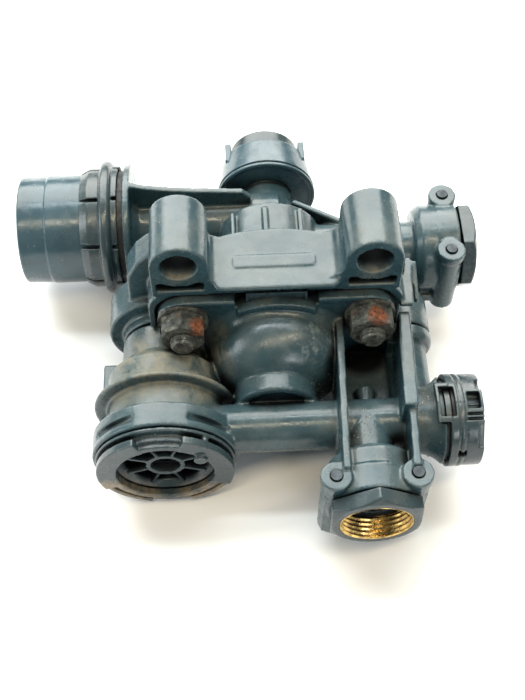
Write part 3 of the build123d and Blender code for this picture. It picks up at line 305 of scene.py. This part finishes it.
def moulded_plastic(name, base, dust, grime_and_shade_amount, gloss, specks, places=None):
    """Glass-filled plastic with tone changes, settled dust, dirt and painted shade darkening the corners,
    and rubbed edges.

    places names spots that are "dusty", "worn", "gritty" or "stained", and "black" spots where solid shade
    is painted."""
    places = places or {}
    n = Nodes(name)
    lighter = tuple(min(1.0, c * 1.3 + 0.003) for c in base)
    tone = n.ramp(n.noise(55.0, 5.0, 0.6), 0.36, 0.66)
    colour = n.blend(tone, base, lighter)
    streak = n.ramp(n.noise(140.0, 3.0, 0.5, 0.4), 0.52, 0.75, 0.0, 0.35)
    colour = n.blend(streak, colour, tuple(c * 0.6 for c in base))
    # rubbed outward corners
    rub = n.math("MULTIPLY", n.ramp(n.edges(0.0012), 0.50, 0.9, 1.0, 0.0), 0.35)
    colour = n.blend(rub, colour, tuple(min(1.0, c * 2.2 + 0.02) for c in base))
    # dust settles on upward faces and in corners
    open_sky = n.recess(0.007)
    corner = n.ramp(open_sky, 0.35, 0.88, 1.0, 0.0)
    patches = n.ramp(n.noise(70.0, 6.0, 0.62, 0.3), 0.42, 0.68)
    up = n.ramp(n.upward(), 0.05, 0.9)
    film = n.math("MULTIPLY", n.math("MULTIPLY", up, patches), 0.16 * dust)
    packed = n.math("MULTIPLY", n.math("MULTIPLY", corner, patches), 0.30 * dust)
    dusting = n.math("ADD", film, packed, clamp=True)
    fine = n.ramp(n.noise(900.0, 4.0, 0.7), 0.25, 0.75, 0.55, 1.0)
    dusting = n.math("MULTIPLY", dusting, fine)
    thin = n.ramp(n.noise(90.0, 4.0, 0.6), 0.30, 0.70, 0.06, 0.06 + 0.20 * dust)
    haze = n.math("MULTIPLY", up, thin)
    colour = n.blend(haze, colour, HAZE)
    if "dusty" in places:
        thick = n.ramp(n.noise(150.0, 6.0, 0.68, 0.5), 0.34, 0.62, 0.10, 1.0)
        heap = n.math("MULTIPLY", n.near(places["dusty"], 0.005, 0.014), thick)
        heap = n.math("MULTIPLY", heap, n.ramp(n.upward(), -0.2, 0.7, 0.15, 0.80))
        dusting = n.math("MAXIMUM", dusting, n.math("MULTIPLY", heap, fine))
    if "worn" in places:
        rubbed = n.ramp(n.noise(420.0, 6.0, 0.72), 0.46, 0.70)
        scuff = n.math("MULTIPLY", n.near(places["worn"], 0.002, 0.012), rubbed)
        colour = n.blend(n.math("MULTIPLY", scuff, 0.42), colour, SCUFF)
    if "stained" in places:
        smeared = n.ramp(n.noise(300.0, 6.0, 0.7), 0.30, 0.62)
        smear = n.math("MULTIPLY", n.near(places["stained"], 0.003, 0.008), smeared)
        colour = n.blend(n.math("MULTIPLY", smear, 0.7), colour, TAN)
    colour = n.blend(dusting, colour, SAND)
    # soot and oil and painted shade in the deepest corners
    deep_shade = n.ramp(open_sky, 0.22, 0.74, 1.0, 0.0)
    blotch = n.ramp(n.noise(160.0, 5.0, 0.65), 0.30, 0.55, 0.35, 1.0)
    soot_and_shade = n.math("MULTIPLY", n.math("MULTIPLY", deep_shade, blotch), grime_and_shade_amount)
    # the marked dark spots get solid painted shade
    if "painted_shade" in places:
        soot_and_shade = n.math("MAXIMUM", soot_and_shade, n.near(places["painted_shade"], 0.0080, 0.0115))
    colour = n.blend(soot_and_shade, colour, SHADE_AND_GRIME_DARK)
    # loose specks
    grains = n.ramp(n.cells(520.0), 0.10, 0.17, 1.0, 0.0)
    sparse = n.ramp(n.noise(210.0, 3.0, 0.6), 0.55, 0.68)
    speck = n.math("MULTIPLY", n.math("MULTIPLY", grains, sparse), 0.6 * specks)
    if "gritty" in places:
        grit = n.ramp(n.cells(1100.0), 0.16, 0.30, 1.0, 0.0)
        grit = n.math("MULTIPLY", grit, n.ramp(n.noise(600.0, 4.0, 0.7), 0.42, 0.60))
        grit = n.math("MULTIPLY", grit, n.near(places["gritty"], 0.0035, 0.0080))
        speck = n.math("MAXIMUM", speck, grit)
    colour = n.blend(speck, colour, SPECK)
    rough = n.ramp(n.noise(260.0, 4.0, 0.6), 0.3, 0.7, gloss - 0.06, gloss + 0.10)
    rough = n.math("ADD", rough, n.math("MULTIPLY", dusting, 0.5), clamp=True)
    rough = n.math("ADD", rough, n.math("MULTIPLY", soot_and_shade, 0.45), clamp=True)
    # fine grain, moulding flow, crusted dust and standing specks
    skin = n.bump(n.noise(2600.0, 3.0, 0.6), 0.00004, 0.5)
    flow = n.bump(n.noise(240.0, 3.0, 0.5), 0.00022, 0.35, skin)
    crust = n.bump(n.math("MULTIPLY", n.noise(1500.0, 5.0, 0.7), dusting), 0.00030, 0.8, flow)
    crust = n.bump(speck, 0.00025, 0.8, crust)
    n.shader.inputs["Specular IOR Level"].default_value = 0.5
    # the painted shade and soot also turn metallic, so their dark base shows no shine
    return n.finish(colour, rough, crust, n.math("MULTIPLY", soot_and_shade, 0.85))


def soft_rubber(name):
    """Black rubber, greyer in patches and dusty."""
    base = (0.014, 0.014, 0.015)
    n = Nodes(name)
    tone = n.ramp(n.noise(300.0, 5.0, 0.6), 0.35, 0.7)
    colour = n.blend(tone, base, tuple(c * 2.2 for c in base))
    dusty = n.math("MULTIPLY", n.ramp(n.noise(180.0, 5.0, 0.65), 0.5, 0.72), 0.45)
    colour = n.blend(dusty, colour, SAND)
    rough = n.ramp(n.noise(500.0), 0.3, 0.7, 0.55, 0.8)
    return n.finish(colour, rough, n.bump(n.noise(1800.0, 4.0, 0.6), 0.00008, 0.5))


def rusty_steel(name, rusty=(), thread=False):
    """Old plated steel: dark grey-brown crust, with orange rust round the given spots."""
    n = Nodes(name)
    crust = n.blend(n.ramp(n.noise(420.0, 5.0, 0.65), 0.35, 0.66), CRUST_LIGHT, CRUST_DARK)
    pale = n.ramp(n.noise(700.0, 6.0, 0.75), 0.53, 0.70, 0.0, 0.8 if thread else 0.5)
    colour = n.blend(pale, crust, (0.42, 0.42, 0.34))
    red = n.blend(n.ramp(n.noise(800.0, 6.0, 0.7), 0.35, 0.65), (0.075, 0.022, 0.010), (0.34, 0.105, 0.036))
    sparse = n.ramp(n.noise(240.0, 5.0, 0.62, 0.25), 0.58, 0.72, 0.0, 0.35)
    where = sparse
    if rusty:
        ragged = n.ramp(n.noise(330.0, 5.0, 0.7), 0.26, 0.48)
        where = n.math("MAXIMUM", sparse, n.math("MULTIPLY", n.near(rusty, 0.0025, 0.0052), ragged))
    colour = n.blend(where, colour, red)
    # painted shade darkening the recesses
    dark = n.ramp(n.recess(0.003), 0.2, 0.75, 1.0, 0.0)
    colour = n.blend(n.math("MULTIPLY", dark, 0.9), colour, SHADE_AND_GRIME_DARK)
    metal = n.ramp(pale, 0.0, 0.8, 0.15, 0.5)
    rough = n.ramp(n.noise(500.0, 4.0, 0.6), 0.3, 0.7, 0.42, 0.85)
    pits = n.bump(n.noise(1500.0, 6.0, 0.75), 0.00025, 0.9)
    flakes = n.bump(n.noise(420.0, 4.0, 0.6), 0.0006, 0.6, pits)
    if thread:
        flakes = n.bump(n.rings(0.00125, "Y"), 0.0006, 1.0, flakes)
    return n.finish(colour, rough, flakes, metal)


def dull_metal(name, base, rough_low, rough_high, tarnish, grain=(1.0, 1.0, 1.0)):
    """Bare metal with a patchy tarnish and fine lines."""
    n = Nodes(name)
    worn = n.ramp(n.noise(330.0, 5.0, 0.6), 0.38, 0.70)
    colour = n.blend(n.math("MULTIPLY", worn, tarnish), base, tuple(c * 0.32 for c in base))
    # painted shade darkening the recesses
    dark = n.ramp(n.recess(0.004), 0.15, 0.65, 1.0, 0.0)
    colour = n.blend(n.math("MULTIPLY", dark, 0.55), colour, SHADE_AND_GRIME_DARK)
    rough = n.ramp(n.noise(700.0, 4.0, 0.6), 0.3, 0.7, rough_low, rough_high)
    lines = n.bump(n.noise(1400.0, 3.0, 0.6, 0.0, grain), 0.00006, 0.5)
    n.shader.inputs["Metallic"].default_value = 1.0
    return n.finish(colour, rough, lines)


def felt(name):
    """Matted fibres, grey-brown."""
    n = Nodes(name)
    colour = n.blend(n.ramp(n.noise(1200.0, 6.0, 0.8), 0.3, 0.7), (0.10, 0.09, 0.08), (0.30, 0.27, 0.23))
    rough = n.ramp(n.noise(800.0), 0.3, 0.7, 0.85, 1.0)
    return n.finish(colour, rough, n.bump(n.noise(2200.0, 5.0, 0.8), 0.0003, 0.8))


def brass_finish(name):
    """Bright rim, gold flanks and a dark dirty film in the thread, with painted shade darkening its
    grooves.
    """
    n = Nodes(name)
    worn = n.ramp(n.noise(260.0, 5.0, 0.62), 0.36, 0.66)
    colour = n.blend(worn, (0.74, 0.53, 0.19), (0.46, 0.29, 0.10))
    film = n.ramp(n.noise(420.0, 5.0, 0.7), 0.46, 0.66, 0.0, 0.80)
    colour = n.blend(film, colour, (0.16, 0.10, 0.05))
    # painted shade darkening the thread's grooves
    dark = n.ramp(n.recess(0.0012), 0.25, 0.8, 1.0, 0.0)
    colour = n.blend(n.math("MULTIPLY", dark, 0.55), colour, (0.06, 0.035, 0.012))
    rough = n.ramp(n.noise(700.0, 4.0, 0.6), 0.3, 0.7, 0.14, 0.36)
    n.shader.inputs["Metallic"].default_value = 1.0
    return n.finish(colour, rough, n.bump(n.noise(1500.0, 4.0, 0.6), 0.00008, 0.5))


def sandy_places():
    """Where sand has settled: in the boss bores' mouths and on the exhaust column."""
    spots = []
    for name in ("left_boss_bore", "right_boss_bore"):
        x, _, z = mount_place(name)
        spots.append((x, 0.0, z - 0.0055, 0.42))
    for back in (-0.010, -0.019):
        spots += column_rim(0.019, back, (52.0, 78.0, 104.0, 130.0), 1.0)
    return spots


def gritty_places():
    """Where crumbs of dirt have collected: beside the dome, at the ribs' feet and on the connector neck."""
    return [
        (0.0135, -0.0200, AXIS_Z + 0.004), (0.0165, -0.0245, AXIS_Z + 0.001),
        (0.0235, -0.0360, AXIS_Z + 0.008), (0.0430, -0.0300, AXIS_Z + 0.007)]


def dark_places():
    """Where no light gets in: the boss bores, the bay between the ribs and behind the grille."""
    places = []
    for name in ("left_boss_bore", "right_boss_bore"):
        x, _, z = mount_place(name)
        places += [(x, depth, z, 0.72) for depth in (0.0072, 0.0110, 0.0155, 0.0205)]
    low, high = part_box("housing_nuts")
    bolt = Vector((high.x - 0.0075, low.y, (low.z + high.z) / 2))
    places.append((bolt.x, bolt.y + 0.008, bolt.z - 0.012, 1.15))
    places.append((bolt.x, bolt.y + 0.004, bolt.z - 0.021, 1.0))
    return places + behind_grille()


def behind_grille():
    """Spots that fill the exhaust column from a little behind the front of its grille."""
    outlet = mount_place("exhaust_outlet")
    depth, scale = outlet.y + 0.0108, 0.8
    places = [(outlet.x, depth, outlet.z, scale)]
    for step in range(6):
        turn = math.radians(60.0 * step)
        across, rise = 0.010 * math.cos(turn), 0.010 * math.sin(turn)
        places.append((outlet.x + across, depth, outlet.z + rise, scale))
    return places


CLAW_STAINS = (205.0, 226.0, 246.0, 294.0, 316.0)   # degrees round the exhaust ring


def column_rim(radius, back, angles, scale):
    """Spots round the exhaust column; 0 degrees points right and 90 up."""
    spots = []
    for lean in angles:
        turn = math.radians(lean)
        spots.append((COLUMN.x + radius * math.cos(turn), back, COLUMN.z + radius * math.sin(turn), scale))
    return spots


def make_materials():
    dome = (0.011, -0.012, AXIS_Z + 0.016)
    low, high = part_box("housing_nuts")
    front = low.y + 0.3 * (high.y - low.y)
    right_nut = (high.x - 0.0045, front, high.z - 0.0002, 0.9)
    left_nut = (low.x + 0.0115, front, high.z - 0.0030, 0.75)
    # dark_places() and behind_grille() mark where solid painted shade goes
    housing_spots = {
        "dusty": sandy_places(), "worn": [dome], "painted_shade": dark_places(), "gritty": gritty_places()}
    dark_spots = {"painted_shade": behind_grille(), "stained": column_rim(0.020, -0.045, CLAW_STAINS, 1.0)}
    coil_grain = (1.0, 12.0, 1.0)
    return {
        "housing_plastic": moulded_plastic(
            "housing_plastic", (0.0155, 0.042, 0.053), 0.75, 0.95, 0.22, 0.5, housing_spots),
        "dark_plastic": moulded_plastic(
            "dark_plastic", (0.012, 0.027, 0.034), 0.45, 0.95, 0.22, 0.5, dark_spots),
        "cap_plastic": moulded_plastic("cap_plastic", (0.020, 0.050, 0.066), 0.20, 0.8, 0.20, 0.9),
        "rubber": soft_rubber("rubber"),
        "zinc_steel": rusty_steel("zinc_steel", [right_nut, left_nut]),
        "bolt_steel": rusty_steel("bolt_steel", [], True),
        "pin_steel": dull_metal("pin_steel", (0.050, 0.056, 0.060), 0.35, 0.55, 0.6),
        "spring_steel": dull_metal("spring_steel", (0.42, 0.43, 0.45), 0.25, 0.4, 0.3),
        "brass": brass_finish("brass"),
        "piston_aluminium": dull_metal("piston_aluminium", (0.62, 0.63, 0.65), 0.25, 0.4, 0.2),
        "copper_winding": dull_metal("copper_winding", (0.70, 0.30, 0.14), 0.25, 0.4, 0.3, coil_grain),
        "filter_felt": felt("filter_felt"),
    }


def paint(piece, material):
    piece.data.materials.clear()
    piece.data.materials.append(material)


# ---------------------------------------------------------------- moulded copies of CAD pieces

def body_name(node):
    for name, nodes in frame["record"]["behaviour"]["bodies"].items():
        if node in nodes:
            return name
    return BODY


def slot_name(node):
    return next(s["material_slot"] for s in frame["record"]["subparts"] if s["node"] == node)


def bake_modifiers(piece):
    """Turns the piece's modifier results into its own mesh."""
    graph = bpy.context.evaluated_depsgraph_get()
    mesh = bpy.data.meshes.new_from_object(piece.evaluated_get(graph))
    piece.modifiers.clear()
    piece.data = mesh


def settle(piece, *nodes):
    """Finishes a piece that stands for CAD nodes: its shading, finish and body; the CAD nodes are hidden.
    """
    for face in piece.data.polygons:
        face.use_smooth = True
    slot = slot_name(nodes[0])
    paint(piece, MATERIALS[slot])
    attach(piece, body_name(nodes[0]))
    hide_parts(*nodes)
    return piece


def joined_mesh(nodes):
    """One mesh with the faces of several CAD nodes."""
    points, faces = [], []
    for node in nodes:
        mesh = frame["nodes"][node].data
        start = len(points)
        points += [tuple(v.co) for v in mesh.vertices]
        faces += [tuple(start + i for i in face.vertices) for face in mesh.polygons]
    joined = bpy.data.meshes.new(nodes[0] + "_joined")
    joined.from_pydata(points, [], faces)
    return joined


def moulded(nodes, voxel, smoothing):
    """A copy of one moulding with rounded edges and filled corners; it may be several CAD nodes."""
    piece = bpy.data.objects.new(nodes[0] + "_moulded", joined_mesh(nodes))
    bpy.context.collection.objects.link(piece)
    remesh = piece.modifiers.new("remesh", "REMESH")
    remesh.mode = "VOXEL"
    remesh.voxel_size = voxel
    relax = piece.modifiers.new("relax", "SMOOTH")
    relax.factor = 0.5
    relax.iterations = smoothing
    bake_modifiers(piece)
    return settle(piece, *nodes)


THREAD_PITCH = 0.0015
THREAD_CREST_R = 0.01022
THREAD_ROOT_R = 0.01095
SLEEVE_R = 0.01103


def threaded_sleeve(node, axis, outward):
    """Brass sleeve with the helical thread cut into its bore."""
    low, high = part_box(node)
    centre = (low + high) / 2
    index = "xyz".index(axis)
    start, length = low[index], high[index] - low[index]
    around, along = 120, 72
    points = []
    for row in range(along + 1):
        place = start + length * row / along
        for k in range(around):
            turn = 2 * math.pi * k / around
            phase = (place / THREAD_PITCH - outward * k / around) % 1.0
            ridge = abs(2.0 * phase - 1.0)
            edge = min(place - start, start + length - place) / 0.0005
            radius = THREAD_CREST_R + (THREAD_ROOT_R - THREAD_CREST_R) * max(ridge, 1.0 - min(edge, 1.0))
            points.append((place, radius, turn))
    for place in (start + length, start):
        for k in range(around):
            points.append((place, SLEEVE_R, 2 * math.pi * k / around))
    faces = []
    total_rows = along + 3
    for row in range(total_rows):
        other = (row + 1) % total_rows
        for k in range(around):
            nxt = (k + 1) % around
            faces.append((row * around + k, row * around + nxt, other * around + nxt, other * around + k))
    vertices = []
    for place, radius, turn in points:
        across, up = radius * math.cos(turn), radius * math.sin(turn)
        if axis == "y":
            vertices.append((centre.x + across, place, centre.z + up))
        else:
            vertices.append((place, centre.y + across, centre.z + up))
    mesh = bpy.data.meshes.new(node + "_thread")
    mesh.from_pydata(vertices, [], faces)
    piece = bpy.data.objects.new(node + "_thread", mesh)
    bpy.context.collection.objects.link(piece)
    return settle(piece, node)


MATERIALS = make_materials()
make_camera()
make_light()
make_floor()

BIG = 0.00045
SMALL = 0.00028
REAR = ["rear_cover", "limiter_housing", "rear_tube_housing", "right_port_housing"]
moulded(REAR, BIG, 5)
for node, voxel, passes in (
        ("front_housing", BIG, 5),
        ("exhaust_ring", SMALL, 4), ("exhaust_grille", SMALL, 3),
        ("limiter_cap", SMALL, 4), ("limiter_clamp_ring", SMALL, 4),
        ("vent_cap", SMALL, 4), ("vent_plug", SMALL, 4),
        ("connector_ring", SMALL, 3), ("front_port_fitting", SMALL, 4), ("right_port_fitting", SMALL, 4)):
    moulded([node], voxel, passes)

for name, cad in frame["nodes"].items():
    paint(cad, MATERIALS[slot_name(name)])
paint(frame["nodes"]["housing_bolts"], MATERIALS["bolt_steel"])
threaded_sleeve("front_port_sleeve", "y", -1.0)
threaded_sleeve("right_port_sleeve", "x", 1.0)
